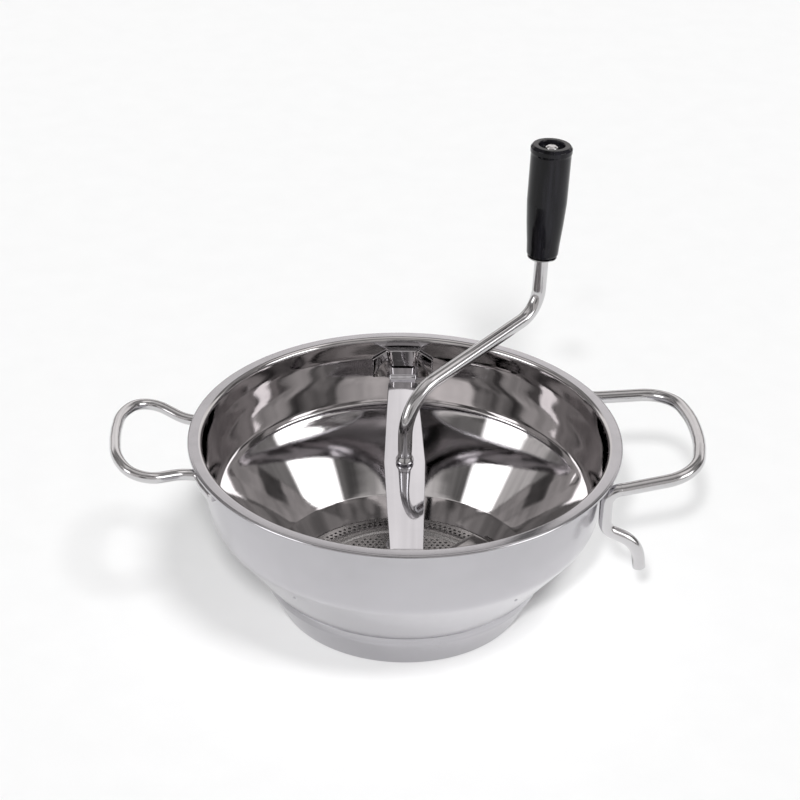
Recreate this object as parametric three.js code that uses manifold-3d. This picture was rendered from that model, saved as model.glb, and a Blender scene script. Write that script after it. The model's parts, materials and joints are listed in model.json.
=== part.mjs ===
// A hand-cranked stainless-steel rotary food mill (mouli, passe-vite).
// Millimetres, +Z up. The origin is the centre of the foot ring's underside, on the crank's axis.
// +X points to the handle with the pot hook, and the bridge bar lies along Y.

import * as THREE from "three";
import { mergeVertices } from "three/addons/utils/BufferGeometryUtils.js";
import Module from "manifold-3d";

// Driving dimensions.
const RIM_RADIUS = 120; // outer edge of the rim's flange
const RIM_HEIGHT = 104.3; // top of the flange above the table
const SHEET = 1; // thickness of the bowl's sheet
const GAP = 0.3; // clearance between pieces that touch on the real object
const FOOT_RADIUS = 69.8; // outer edge of the foot ring on the table
const DISC_RADIUS = 66; // sieve disc
const DISC_BASE = 4.6 + GAP; // underside of the disc's edge, on the bowl's ledge
const BAR_TOP = 86.4; // top face of the bridge bar
const BAR_THICKNESS = 1.8;
const ROD_RADIUS = 4; // crank rod
const CRANK_REST = THREE.MathUtils.degToRad(46.1); // direction of the crank's arm at rest, from +X
const CRANK_REACH = 110; // from the axis to the corner below the grip
const CRANK_HEIGHT = 126.3; // centreline of the arm, at the axis
const CRANK_RISE = 0.135; // slope of the arm
const GRIP_LEAN = 0.048; // slope of the grip's axis, outwards
const LEFT_WIRE_RADIUS = 3.1;
const RIGHT_WIRE_RADIUS = 3.6;
const LEG_HEIGHT = 97.5; // centreline of the handles' legs at the wall
const HANDLE_TURN = THREE.MathUtils.degToRad(2.7); // the handles are welded a little off square

const AROUND = 56; // facets round the bowl, the foot ring and the disc
const ROD_CLEARANCE = 0.35; // between the rod and the pieces that turn on it or lie round it

const wasm = await Module();
wasm.setup();

const steel = (name, colour, roughness) =>
  new THREE.MeshStandardMaterial({ name, color: colour, roughness, metalness: 1 });
const MIRROR = steel("mirror_steel", 0xc6c6ca, 0.08);
const SATIN = steel("satin_steel", 0xb8b8bc, 0.3);
const SPRING = steel("spring_steel", 0x9a9a9e, 0.35);
const BLACK = new THREE.MeshStandardMaterial({ name: "black_plastic", color: 0x141416, roughness: 0.3 });

const v2 = (x, y) => new THREE.Vector2(x, y);
const v3 = (x, y, z) => new THREE.Vector3(x, y, z);

// ---------- helpers ----------

// A circular bend, tangent to both legs of its corner.
class Bend extends THREE.Curve {
  constructor(corner, into, out, radius) {
    super();
    const half = into.angleTo(out) / 2;
    this.sweep = 2 * half;
    this.setback = radius * Math.tan(half);
    const inward = out.clone().sub(into).normalize();
    this.centre = corner.clone().addScaledVector(inward, radius / Math.cos(half));
    this.from = corner.clone().addScaledVector(into, -this.setback).sub(this.centre);
    this.along = into.clone().multiplyScalar(radius);
  }

  getPoint(t, target = new THREE.Vector3()) {
    const angle = t * this.sweep;
    return target
      .copy(this.centre)
      .addScaledVector(this.from, Math.cos(angle))
      .addScaledVector(this.along, Math.sin(angle));
  }
}

// The bend at each inner corner of a line, corners being [point, bend radius].
function bendsOf(corners) {
  return corners.slice(1, -1).map(([point, radius], i) => {
    const into = point.clone().sub(corners[i][0]).normalize();
    const out = corners[i + 2][0].clone().sub(point).normalize();
    return new Bend(point, into, out, radius);
  });
}

// A wire's centreline: straight legs joined by bends.
function bentWire(corners) {
  const path = new THREE.CurvePath();
  let at = corners[0][0];
  for (const bend of bendsOf(corners)) {
    path.add(new THREE.LineCurve3(at, bend.getPoint(0)));
    path.add(bend);
    at = bend.getPoint(1);
  }
  path.add(new THREE.LineCurve3(at, corners.at(-1)[0]));
  return path;
}

function polygon(radius, sides, turn = 0) {
  return Array.from({ length: sides }, (_, i) => {
    const angle = turn + (2 * Math.PI * i) / sides;
    return v2(radius * Math.cos(angle), radius * Math.sin(angle));
  });
}

function rodAlong(path, radius, steps, sides) {
  const section = new THREE.Shape(polygon(radius, sides));
  return new THREE.ExtrudeGeometry(section, { steps, extrudePath: path, bevelEnabled: false });
}

// Points along a profile in the (radius, height) plane, corners being [radius, height, fillet].
function roundedProfile(corners, facetAngle = THREE.MathUtils.degToRad(24)) {
  const line = corners.map(([r, z, fillet]) => [v3(r, z, 0), fillet]);
  const points = [line[0][0]];
  for (const bend of bendsOf(line)) {
    const facets = Math.max(1, Math.round(bend.sweep / facetAngle));
    for (let i = 0; i <= facets; i++) points.push(bend.getPoint(i / facets));
  }
  points.push(line.at(-1)[0]);
  return points.map((p) => v2(p.x, p.y));
}

// The outline of a sheet that lies to the left of a line, as a closed loop.
function sheetOutline(line, thickness) {
  const offset = line.map((point, i) => {
    const before = point.clone().sub(line[i - 1] ?? line[0]);
    const after = (line[i + 1] ?? line.at(-1)).clone().sub(point);
    if (i === 0) before.copy(after);
    if (i === line.length - 1) after.copy(before);
    const a = v2(-before.y, before.x).normalize();
    const b = v2(-after.y, after.x).normalize();
    const mitre = a.clone().add(b).normalize();
    return point.clone().addScaledVector(mitre, thickness / mitre.dot(a));
  });
  return [...line, ...offset.reverse(), line[0].clone()];
}

// A solid of revolution about Z from (radius, height) points.
function turned(points, around = AROUND) {
  return new THREE.LatheGeometry(points, around).rotateX(Math.PI / 2);
}

// A closed outline in plan, raised from one height to another.
function raised(outline, bottom, top) {
  const shape = outline instanceof THREE.Shape ? outline : new THREE.Shape(outline);
  const geometry = new THREE.ExtrudeGeometry(shape, { depth: top - bottom, bevelEnabled: false });
  return geometry.translate(0, 0, bottom);
}

function solidOf(geometry) {
  const bare = geometry.clone();
  bare.deleteAttribute("normal");
  bare.deleteAttribute("uv");
  const merged = mergeVertices(bare, 1e-4);
  return new wasm.Manifold(
    new wasm.Mesh({
      numProp: 3,
      vertProperties: merged.attributes.position.array,
      triVerts: new Uint32Array(merged.index.array),
    }),
  );
}

function geometryOf(solid) {
  const mesh = solid.getMesh();
  const geometry = new THREE.BufferGeometry();
  geometry.setAttribute("position", new THREE.BufferAttribute(mesh.vertProperties, mesh.numProp));
  geometry.setIndex(new THREE.BufferAttribute(mesh.triVerts, 1));
  geometry.computeVertexNormals();
  return geometry;
}

const joined = (first, ...rest) => rest.reduce((sum, g) => sum.add(solidOf(g)), solidOf(first));

function piece(name, geometry, material) {
  const mesh = new THREE.Mesh(geometry, material);
  mesh.name = name;
  return mesh;
}

// ---------- bowl ----------

const WALL_RADIUS = 112.9; // outside of the wall, under the flange
const CONE_TOP = [108.5, 61.3]; // where the cone meets the wall
const WALL_LOW = [112, 78]; // the wall bulges a little between its foot and the flange
const WALL_HIGH = [113.2, 92];
const COLLAR_TOP = [75.2, 17.3]; // where the cone meets the disc's collar
const LEDGE_RADIUS = 60.5; // inner edge of the ledge that carries the disc

// Spun bowl: ledge, collar, cone, upright wall, flat flange and its turned-down edge.
function bowl() {
  const underside = RIM_HEIGHT - SHEET;
  const line = roundedProfile([
    [LEDGE_RADIUS, DISC_BASE - GAP - SHEET, 0],
    [67.8, DISC_BASE - GAP - SHEET, 1.4],
    [...COLLAR_TOP, 6],
    [...CONE_TOP, 18],
    [...WALL_LOW, 60],
    [...WALL_HIGH, 40],
    [WALL_RADIUS, underside, 1.4],
    [RIM_RADIUS - SHEET, underside, 0.5],
    [RIM_RADIUS - SHEET, underside - 0.6, 0],
  ]);
  return piece("bowl", turned(sheetOutline(line, SHEET)), MIRROR);
}

// The ring that the mill stands on, under the cone.
function footRing() {
  const lip = 4.5;
  const line = roundedProfile([
    [FOOT_RADIUS - lip, 0, 0],
    [FOOT_RADIUS, 0, 1.4],
    [80.2, 20.2, 2],
    [81.05, 22.9, 0],
  ]);
  return piece("foot_ring", turned(sheetOutline(line, SHEET)), MIRROR);
}

// ---------- handles ----------

// One handle's loop, as corners from one leg round to the other. Each corner is [out from the
// axis, half width, height, bend radius]. The half width changes sign on the second leg.
function loopCorners(half, tip = []) {
  const corner = (sign) => ([out, width, height, radius]) => [v3(out, sign * width, height), radius];
  return [...half.map(corner(1)), ...tip.map(corner(0)), ...half.toReversed().map(corner(-1))];
}

// A leg's end follows the wall, under the flange, where it is welded.
function weldedEnd(width, wire, length) {
  const radius = WALL_RADIUS + 2 * GAP + wire;
  const start = Math.asin(width / radius);
  const half = Math.atan(length / 2 / radius);
  const at = (angle, reach) => [reach * Math.cos(angle), reach * Math.sin(angle), LEG_HEIGHT];
  return [
    [...at(start + 2 * half, radius), 0],
    [...at(start + half, radius / Math.cos(half)), 30],
    [...at(start, radius), wire + 1.5],
  ];
}

function leftHandle() {
  const half = [
    ...weldedEnd(28.5, LEFT_WIRE_RADIUS, 24),
    [123, 29.5, LEG_HEIGHT + 1.4, 20],
    [145, 44, LEG_HEIGHT + 6.4, 14],
    [157.3, 24, LEG_HEIGHT + 8.6, 38],
  ];
  const tip = [[159.8, 0, LEG_HEIGHT + 9, 140]];
  const wire = rodAlong(bentWire(loopCorners(half, tip)), LEFT_WIRE_RADIUS, 64, 8);
  const mesh = piece("left_handle", wire, MIRROR);
  mesh.rotation.z = Math.PI + HANDLE_TURN;
  return mesh;
}

// The wire of this handle ends in a hook that hangs down and rests on the rim of a pot.
function rightHandle() {
  const legWidth = 50.5;
  const end = weldedEnd(legWidth, RIGHT_WIRE_RADIUS, 16);
  const loop = loopCorners([
    [114, legWidth - 0.8, LEG_HEIGHT, 30],
    [155, 44.5, LEG_HEIGHT + 5.1, 25],
    [162.2, 14, LEG_HEIGHT + 6.5, 98],
  ]);
  const atWall = end.at(-1)[0];
  const hook = [
    [v3(atWall, -legWidth, LEG_HEIGHT), 8],
    [v3(atWall, -legWidth, LEG_HEIGHT - 24.2), 9],
    [v3(atWall + 18.4, -legWidth, LEG_HEIGHT - 33.4), 18],
    [v3(atWall + 20.8, -legWidth, LEG_HEIGHT - 49.7), 0],
  ];
  const leg = end.map(([out, width, height, radius]) => [v3(out, width, height), radius]);
  const wire = rodAlong(bentWire([...leg, ...loop, ...hook]), RIGHT_WIRE_RADIUS, 80, 8);
  const mesh = piece("right_handle", wire, MIRROR);
  mesh.rotation.z = HANDLE_TURN;
  return mesh;
}

// ---------- bridge bar and its brackets ----------

const WALL_LEAN = THREE.MathUtils.degToRad(3.1); // the wall opens upwards at the brackets
const BRACKET_BOTTOM = 79.2;
const BRACKET_TOP = 97;
const BRACKET_BACK = 111; // back of a bracket at its mid height, just clear of the wall
const PLATE = 1; // thickness of a bracket's sheet
const TAB_WIDTH = 15.6;
const STEP_UP = 2.4; // rise of the bar's end tabs over its middle
const TAB_TOP = BAR_TOP + STEP_UP;
const HAT_BOTTOM = TAB_TOP + 0.4;

// One bracket: a plate on the wall, open in the middle below, and a hat over the bar's tab.
function bracketGeometry() {
  const halfWidth = 18;
  const bottom = BRACKET_BOTTOM;
  const top = BRACKET_TOP;
  const back = BRACKET_BACK;
  const wallArc = (radius, reach, facets) =>
    Array.from({ length: facets + 1 }, (_, i) => {
      const angle = Math.asin(reach / radius) * (1 - (2 * i) / facets);
      return v2(radius * Math.sin(angle), radius * Math.cos(angle));
    });
  const plan = [...wallArc(back, halfWidth, 8), ...wallArc(back - PLATE, halfWidth, 8).reverse()];
  const plate = solidOf(raised(plan.reverse(), bottom, top));

  // The plate seen from the axis: cut corners, and an opening for the tab in its lower middle.
  const cut = 6;
  const opening = TAB_WIDTH / 2 + 1.4;
  const outline = [
    v2(-halfWidth - 1, bottom - 1),
    v2(-opening, bottom - 1),
    v2(-opening, HAT_BOTTOM),
    v2(opening, HAT_BOTTOM),
    v2(opening, bottom - 1),
    v2(halfWidth + 1, bottom - 1),
    v2(halfWidth + 1, top - cut + 1),
    v2(halfWidth - 2 * cut, top + 1),
    v2(-halfWidth + 2 * cut, top + 1),
    v2(-halfWidth - 1, top - cut + 1),
  ];
  const mask = raised(outline, 0, halfWidth);
  mask.rotateX(Math.PI / 2);
  mask.translate(0, back + 2 * PLATE, 0);

  const upright = geometryOf(plate.intersect(solidOf(mask)).add(hatSolid(back)));
  const middle = (bottom + top) / 2;
  return upright.translate(0, -back, -middle).rotateX(-WALL_LEAN).translate(0, back, middle);
}

// The hat is a roofed channel with sloping sides, narrower at its mouth than at its top.
function hatSolid(back) {
  const top = 98.5;
  const depth = 6.85;
  const front = back - depth;
  const section = (frontHalf, rootHalf) => {
    const root = back - PLATE / 2;
    return [
      v2(-rootHalf, root),
      v2(-frontHalf, front),
      v2(frontHalf, front),
      v2(rootHalf, root),
      v2(rootHalf - 1.2 * PLATE, root),
      v2(frontHalf - 0.8 * PLATE, front + PLATE),
      v2(-frontHalf + 0.8 * PLATE, front + PLATE),
      v2(-rootHalf + 1.2 * PLATE, root),
    ];
  };
  const mouth = section(6.4, 8.9);
  const crown = section(7.6, 10.8);
  const outer = crown.slice(0, 4);
  const roof = lofted(outer, top - PLATE, outer, top);
  return solidOf(lofted(mouth, HAT_BOTTOM, crown, top)).add(solidOf(roof));
}

// A solid between two closed outlines with the same number of points, one above the other.
function lofted(lower, bottom, upper, top) {
  const count = lower.length;
  const positions = [
    ...lower.flatMap((p) => [p.x, p.y, bottom]),
    ...upper.flatMap((p) => [p.x, p.y, top]),
  ];
  const index = [];
  for (let i = 0; i < count; i++) {
    const next = (i + 1) % count;
    index.push(i, next, count + next, i, count + next, count + i);
  }
  for (const [a, b, c] of THREE.ShapeUtils.triangulateShape(lower, [])) {
    index.push(a, c, b);
    index.push(count + a, count + b, count + c);
  }
  const geometry = new THREE.BufferGeometry();
  geometry.setAttribute("position", new THREE.Float32BufferAttribute(positions, 3));
  return geometry.setIndex(index);
}

function brackets() {
  const geometry = bracketGeometry();
  const rear = piece("rear_bracket", geometry, MIRROR);
  const front = piece("front_bracket", geometry.clone(), MIRROR);
  front.rotation.z = Math.PI;
  return [rear, front];
}

// Flat bar across the bowl, widest at the crank's hole, with stepped-up tabs under the hats.
function bridgeBar() {
  const middle = 11.5;
  const shoulder = 8.7;
  const shoulderAt = 88;
  const tabEnd = 107.6; // just short of the wall
  const quarter = [
    v2(middle, 0),
    v2(shoulder, shoulderAt),
    v2(TAB_WIDTH / 2, shoulderAt + 3),
    v2(TAB_WIDTH / 2, tabEnd),
  ];
  const mirrored = (sx, sy) => quarter.map((p) => v2(p.x * sx, p.y * sy));
  const plan = [
    ...mirrored(1, 1),
    ...mirrored(-1, 1).reverse(),
    ...mirrored(-1, -1),
    ...mirrored(1, -1).reverse(),
  ].filter((p, i, all) => i === 0 || p.distanceTo(all[i - 1]) > 1e-6);
  plan.pop();
  const full = solidOf(raised(plan, BAR_TOP - BAR_THICKNESS - 1, TAB_TOP + 1));

  const side = roundedProfile([
    [-tabEnd - 1, TAB_TOP - BAR_THICKNESS, 0],
    [-shoulderAt - 6.6, TAB_TOP - BAR_THICKNESS, 1.2],
    [-shoulderAt - 5.4, BAR_TOP - BAR_THICKNESS, 2.4],
    [shoulderAt + 5.4, BAR_TOP - BAR_THICKNESS, 2.4],
    [shoulderAt + 6.6, TAB_TOP - BAR_THICKNESS, 1.2],
    [tabEnd + 1, TAB_TOP - BAR_THICKNESS, 0],
  ]);
  const strip = raised(sheetOutline(side, BAR_THICKNESS).slice(0, -1), -2 * middle, 2 * middle);
  strip.rotateX(Math.PI / 2);
  strip.rotateZ(Math.PI / 2);

  const hole = raised(polygon(ROD_RADIUS + ROD_CLEARANCE, 24), 0, RIM_HEIGHT);
  return piece(
    "bridge_bar",
    geometryOf(full.intersect(solidOf(strip)).subtract(solidOf(hole))),
    MIRROR,
  );
}

// ---------- crank ----------

const ROD_TIP = 2.2; // lower end of the rod, in the disc's centre hole
const HUB_BOTTOM = 9;
const HUB_TOP = 30;
const ARM = v3(Math.cos(CRANK_REST), Math.sin(CRANK_REST), 0);
const GRIP_CORNER = v3(0, 0, CRANK_HEIGHT + CRANK_RISE * CRANK_REACH).addScaledVector(ARM, CRANK_REACH);
const GRIP_AXIS = v3(0, 0, 1).addScaledVector(ARM, GRIP_LEAN).normalize();
const GRIP_FROM = 34.8; // along the grip's axis, from the corner to the grip's underside
const GRIP_LENGTH = 67;
const RECESS = 3.6; // depth of the recess in the grip's top, down to the pin's end

const RIVET_GAP = 1.5; // from the recess floor's washer to the riveted head

// One bent rod: spindle, arm and grip pin, with a bead that rests on the bar.
function crankRod() {
  const pinLength = GRIP_FROM + GRIP_LENGTH - RECESS + RIVET_GAP - GAP;
  const pinEnd = GRIP_CORNER.clone().addScaledVector(GRIP_AXIS, pinLength);
  const path = bentWire([
    [v3(0, 0, ROD_TIP), 0],
    [v3(0, 0, CRANK_HEIGHT), 26],
    [GRIP_CORNER, 17],
    [pinEnd, 0],
  ]);
  const rod = rodAlong(path, ROD_RADIUS, 60, 12);
  const beadRadius = ROD_RADIUS + 1.1;
  const beadHeight = 3.4;
  const profile = [
    v2(0, 0),
    v2(beadRadius - 0.8, 0),
    v2(beadRadius, 0.8),
    v2(beadRadius, 1.9),
    v2(ROD_RADIUS - 0.4, beadHeight),
    v2(0, beadHeight),
  ];
  const bead = turned(profile, 24).translate(0, 0, BAR_TOP + GAP + 0.2);
  const bored = joined(rod, bead).subtract(solidOf(crossBore()));
  return piece("crank_rod", geometryOf(bored), MIRROR);
}

// Pieces on the grip's pin share its leaning frame, with z = 0 at the grip's underside.
function onGripPin(...meshes) {
  const group = new THREE.Group();
  group.position.copy(GRIP_CORNER).addScaledVector(GRIP_AXIS, GRIP_FROM);
  group.quaternion.setFromUnitVectors(v3(0, 0, 1), GRIP_AXIS);
  group.add(...meshes);
  return group;
}

// Tapered plastic grip, bored for the pin, with a recess round the riveted end.
function grip() {
  const bore = ROD_RADIUS + ROD_CLEARANCE;
  const top = GRIP_LENGTH;
  const recessRadius = 7.2;
  const recessFloor = top - RECESS - 1.6;
  const profile = [
    v2(bore, 0),
    v2(7.8, 0),
    v2(9, 1.6),
    v2(9.4, 8),
    v2(10.5, 20),
    v2(11.4, 32),
    v2(11.4, 44),
    v2(11.5, top - 5),
    v2(11.8, top - 3.5),
    v2(11.8, top - 1.8),
    v2(10.5, top),
    v2(recessRadius + 0.4, top),
    v2(recessRadius, top - 0.6),
    v2(recessRadius, recessFloor),
    v2(bore, recessFloor),
    v2(bore, 0),
  ];
  return piece("grip", turned(profile, 24), BLACK);
}

function washer(name, inner, outer, bottom, thickness, material) {
  const top = bottom + thickness;
  const profile = [v2(inner, bottom), v2(outer, bottom), v2(outer, top), v2(inner, top), v2(inner, bottom)];
  return piece(name, turned(profile, 20), material);
}

// Plain washer under the grip, and the washer that the pin's end is riveted over.
function gripWashers() {
  const bore = ROD_RADIUS + ROD_CLEARANCE;
  const thin = 0.7;
  const below = washer("grip_lower_washer", bore, 7.8, -GAP - thin, thin, MIRROR);
  const thick = 0.9;
  const floor = GRIP_LENGTH - RECESS - 1.6;
  const above = washer("grip_upper_washer", bore, 6.4, floor + GAP, thick, MIRROR);
  return [below, above];
}

// The riveted end of the pin, above the upper washer.
function rivetHead() {
  const base = GRIP_LENGTH - RECESS + RIVET_GAP;
  const height = 1.7;
  const profile = [
    v2(0, base),
    v2(3.9, base),
    v2(3.4, base + 0.9),
    v2(2.2, base + 1.5),
    v2(0, base + height),
  ];
  return piece("grip_rivet_head", turned(profile, 20), MIRROR);
}

// ---------- spring and blade ----------

const WASHER = 1.2; // thickness of the spring's washers
const UPPER_WASHER_BOTTOM = BAR_TOP - BAR_THICKNESS - GAP - WASHER;
const LOWER_WASHER_TOP = HUB_TOP + GAP + WASHER;

function springWashers() {
  const bore = ROD_RADIUS + ROD_CLEARANCE;
  const outer = 9.5;
  const upper = washer("upper_spring_washer", bore, outer, UPPER_WASHER_BOTTOM, WASHER, MIRROR);
  const lower = washer("lower_spring_washer", bore, outer, HUB_TOP + GAP, WASHER, MIRROR);
  return [upper, lower];
}

// Helical compression spring with closed ends.
class Helix extends THREE.Curve {
  constructor(radius, bottom, top, turns) {
    super();
    Object.assign(this, { radius, bottom, top, turns });
  }

  getPoint(t, target = new THREE.Vector3()) {
    const angle = 2 * Math.PI * this.turns * t;
    const closed = 0.35; // how far the end turns close up on their neighbours
    const climb = THREE.MathUtils.smoothstep(t, 0, 1) * closed + t * (1 - closed);
    const height = this.bottom + (this.top - this.bottom) * climb;
    return target.set(this.radius * Math.cos(angle), this.radius * Math.sin(angle), height);
  }
}

function spring() {
  const wire = 0.8;
  const turns = 7.5;
  const path = new Helix(7, LOWER_WASHER_TOP + GAP + wire, UPPER_WASHER_BOTTOM - GAP - wire, turns);
  return piece("spring", rodAlong(path, wire, turns * 12, 6), SPRING);
}

// The hub holds the blade on the rod, with a cross pin through both.
const PIN_RADIUS = 1.5;
const PIN_HEIGHT = 22;
const HUB_RADIUS = 6.6;

function bladeHub() {
  const bore = ROD_RADIUS + GAP;
  const chamfer = 0.8;
  const profile = [
    v2(bore, HUB_BOTTOM),
    v2(HUB_RADIUS, HUB_BOTTOM),
    v2(HUB_RADIUS, HUB_TOP - chamfer),
    v2(HUB_RADIUS - chamfer, HUB_TOP),
    v2(bore, HUB_TOP),
    v2(bore, HUB_BOTTOM),
  ];
  const sleeve = solidOf(turned(profile, 24));
  return piece("blade_hub", geometryOf(sleeve.subtract(solidOf(crossBore()))), SATIN);
}

// A bore across the axis, along the blade's edge.
function crossBore() {
  const reach = 3 * HUB_RADIUS;
  const bore = raised(polygon(PIN_RADIUS + GAP, 12), -reach, reach);
  return bore.rotateY(Math.PI / 2).rotateZ(CRANK_REST).translate(0, 0, PIN_HEIGHT);
}

function crossPin() {
  const halfLength = HUB_RADIUS + 0.8;
  const pin = raised(polygon(PIN_RADIUS, 12), -halfLength, halfLength);
  pin.rotateY(Math.PI / 2).rotateZ(CRANK_REST).translate(0, 0, PIN_HEIGHT);
  return piece("blade_cross_pin", pin, SATIN);
}

// Helical pressing plate. Its trailing edge skims the disc, and its leading edge is raised.
const BLADE_SWEEP = Math.PI;
const BLADE_LOW = 7.1;
const BLADE_RISE = 20;
const BLADE_THICKNESS = 1.2;

// Inside radius of the bowl at a height: collar below, cone above.
function innerRadius(height) {
  const [collarRadius, collarHeight] = COLLAR_TOP;
  const coneSlope = (CONE_TOP[0] - collarRadius) / (CONE_TOP[1] - collarHeight);
  const collarSlope = 0.52;
  const slope = height > collarHeight ? coneSlope : collarSlope;
  return collarRadius + slope * (height - collarHeight) - 1.3 * SHEET;
}

function blade() {
  const around = 30;
  const across = 3;
  const clearance = 2; // between the blade's rim and the bowl
  const hubSide = HUB_RADIUS + GAP;
  const positions = [];
  for (const layer of [0, 1]) {
    for (let i = 0; i <= around; i++) {
      const turn = i / around;
      const angle = CRANK_REST - BLADE_SWEEP * turn;
      const rim = Math.min(innerRadius(BLADE_LOW + BLADE_RISE * turn) - clearance, 63 + 6 * turn);
      for (let j = 0; j <= across; j++) {
        const r = hubSide + (rim - hubSide) * (j / across);
        const height = BLADE_LOW + BLADE_RISE * turn ** 1.3 + layer * BLADE_THICKNESS;
        positions.push(r * Math.cos(angle), r * Math.sin(angle), height);
      }
    }
  }
  const at = (layer, i, j) => (layer * (around + 1) + i) * (across + 1) + j;
  const index = [];
  const quad = (a, b, c, d) => index.push(a, b, c, a, c, d);
  for (let i = 0; i < around; i++) {
    for (let j = 0; j < across; j++) {
      quad(at(1, i, j), at(1, i + 1, j), at(1, i + 1, j + 1), at(1, i, j + 1));
      quad(at(0, i, j), at(0, i, j + 1), at(0, i + 1, j + 1), at(0, i + 1, j));
    }
    quad(at(0, i, 0), at(0, i + 1, 0), at(1, i + 1, 0), at(1, i, 0));
    quad(at(0, i, across), at(1, i, across), at(1, i + 1, across), at(0, i + 1, across));
  }
  for (let j = 0; j < across; j++) {
    quad(at(0, 0, j), at(1, 0, j), at(1, 0, j + 1), at(0, 0, j + 1));
    quad(at(0, around, j), at(0, around, j + 1), at(1, around, j + 1), at(1, around, j));
  }
  const geometry = new THREE.BufferGeometry();
  geometry.setAttribute("position", new THREE.Float32BufferAttribute(positions, 3));
  geometry.setIndex(index);
  return piece("blade", geometry, MIRROR);
}

// ---------- sieve disc ----------

// Perforated disc: an outer band of holes, a plain step and an inner field of holes.
function sieveDisc() {
  const sheet = 0.9;
  const step = 0.9;
  const line = roundedProfile([
    [ROD_RADIUS + ROD_CLEARANCE, DISC_BASE, 0],
    [50.5, DISC_BASE, 1],
    [51.5, DISC_BASE + step, 1],
    [57, DISC_BASE + step, 1],
    [58, DISC_BASE, 1],
    [DISC_RADIUS, DISC_BASE, 0],
  ]);
  const plate = solidOf(turned(sheetOutline(line, sheet)));
  const holeRadius = 1.7;
  const holes = [...polygon(61.5, 32), ...fieldHoles(48, 12)];
  const drills = holes.map((at) => {
    return raised(polygon(holeRadius, 6), 0, 2 * DISC_BASE).translate(at.x, at.y, 0);
  });
  return piece("sieve_disc", geometryOf(plate.subtract(joined(...drills))), SATIN);
}

// A staggered field of holes between two radii.
function fieldHoles(outer, inner) {
  const pitch = 10.4;
  const rowHeight = (pitch * Math.sqrt(3)) / 2;
  const rows = Math.floor(outer / rowHeight);
  const holes = [];
  for (let row = -rows; row <= rows; row++) {
    const shift = row % 2 ? pitch / 2 : 0;
    const columns = Math.ceil(outer / pitch);
    for (let column = -columns; column <= columns; column++) {
      const hole = v2(column * pitch + shift, row * rowHeight);
      if (hole.length() < outer && hole.length() > inner) holes.push(hole);
    }
  }
  return holes;
}

// ---------- assembly ----------

const mill = new THREE.Group();
mill.add(bowl(), footRing(), leftHandle(), rightHandle(), ...brackets(), bridgeBar());
mill.add(crankRod(), onGripPin(grip(), ...gripWashers(), rivetHead()));
mill.add(...springWashers(), spring(), bladeHub(), crossPin(), blade(), sieveDisc());

export default mill;
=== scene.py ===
import json
import math

import bmesh
import bpy
import numpy as np
from mathutils import Matrix, Vector
from mathutils.geometry import delaunay_2d_cdt


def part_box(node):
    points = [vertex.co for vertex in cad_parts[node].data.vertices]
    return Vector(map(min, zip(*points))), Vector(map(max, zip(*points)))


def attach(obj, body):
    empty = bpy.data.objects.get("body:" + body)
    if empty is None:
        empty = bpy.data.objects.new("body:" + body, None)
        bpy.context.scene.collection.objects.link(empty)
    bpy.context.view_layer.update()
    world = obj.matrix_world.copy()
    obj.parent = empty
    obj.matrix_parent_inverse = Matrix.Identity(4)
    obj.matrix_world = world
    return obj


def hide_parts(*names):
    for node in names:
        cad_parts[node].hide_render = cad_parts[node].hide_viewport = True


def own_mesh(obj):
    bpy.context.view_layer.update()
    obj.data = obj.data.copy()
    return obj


# A polished stainless-steel rotary food mill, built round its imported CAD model. Metres, +Z up.
# The origin is under the foot, on the crank's axis, and the bridge bar lies along Y.

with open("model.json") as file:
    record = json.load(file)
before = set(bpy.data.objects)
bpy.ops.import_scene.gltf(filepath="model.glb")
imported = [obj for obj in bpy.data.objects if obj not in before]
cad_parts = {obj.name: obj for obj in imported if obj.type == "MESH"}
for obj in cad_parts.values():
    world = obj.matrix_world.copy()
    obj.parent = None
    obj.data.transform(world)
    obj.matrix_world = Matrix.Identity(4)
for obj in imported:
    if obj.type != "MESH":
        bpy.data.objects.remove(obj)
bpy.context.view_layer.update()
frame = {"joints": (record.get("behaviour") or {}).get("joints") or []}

# ---------- dimensions, from the frame ----------

BOWL_LOW, BOWL_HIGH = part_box("bowl")
RIM_RADIUS = BOWL_HIGH.x
RIM_TOP = BOWL_HIGH.z
MM = RIM_RADIUS / 120  # one millimetre, the rim's radius being 120 of them
SHEET = 1.0 * MM
GAP = 0.3 * MM  # clearance between pieces that touch on the real mill

JOINTS = {joint["name"]: joint for joint in frame["joints"]}
CORNER = Vector(JOINTS["grip_spin"]["pos_m"])  # the crank's corner below the grip
GRIP_AXIS = Vector(JOINTS["grip_spin"]["axis"]).normalized()
CRANK_ANGLE = math.atan2(CORNER.y, CORNER.x)
ARM = Vector((math.cos(CRANK_ANGLE), math.sin(CRANK_ANGLE), 0))
ARM_RISE = 0.135  # slope of the crank's arm
ARM_HEIGHT = CORNER.z - ARM_RISE * CORNER.xy.length  # the arm's centreline, at the axis

ROD = 4 * MM  # radius of the crank's rod
ROD_CLEARANCE = 0.35 * MM
BAR_LOW, BAR_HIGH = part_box("bridge_bar")
TAB_TOP = BAR_HIGH.z
STEP_UP = 2.4 * MM  # rise of the bar's end tabs over its middle
BAR_TOP = TAB_TOP - STEP_UP
BAR_SHEET = BAR_TOP - BAR_LOW.z
WALL_RADIUS = 112.9 * MM  # outside of the wall, under the flange
WALL_LEAN = math.radians(3.1)  # the wall opens upwards at the brackets
LEG_HEIGHT = 97.5 * MM  # centreline of the handles' legs at the wall
HANDLE_TURN = math.radians(2.7)  # the handles are welded a little off square

# Corners of the bowl's outside, in millimetres.
COLLAR_TOP = (75.2, 17.3)
CONE_TOP = (108.5, 61.3)

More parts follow.
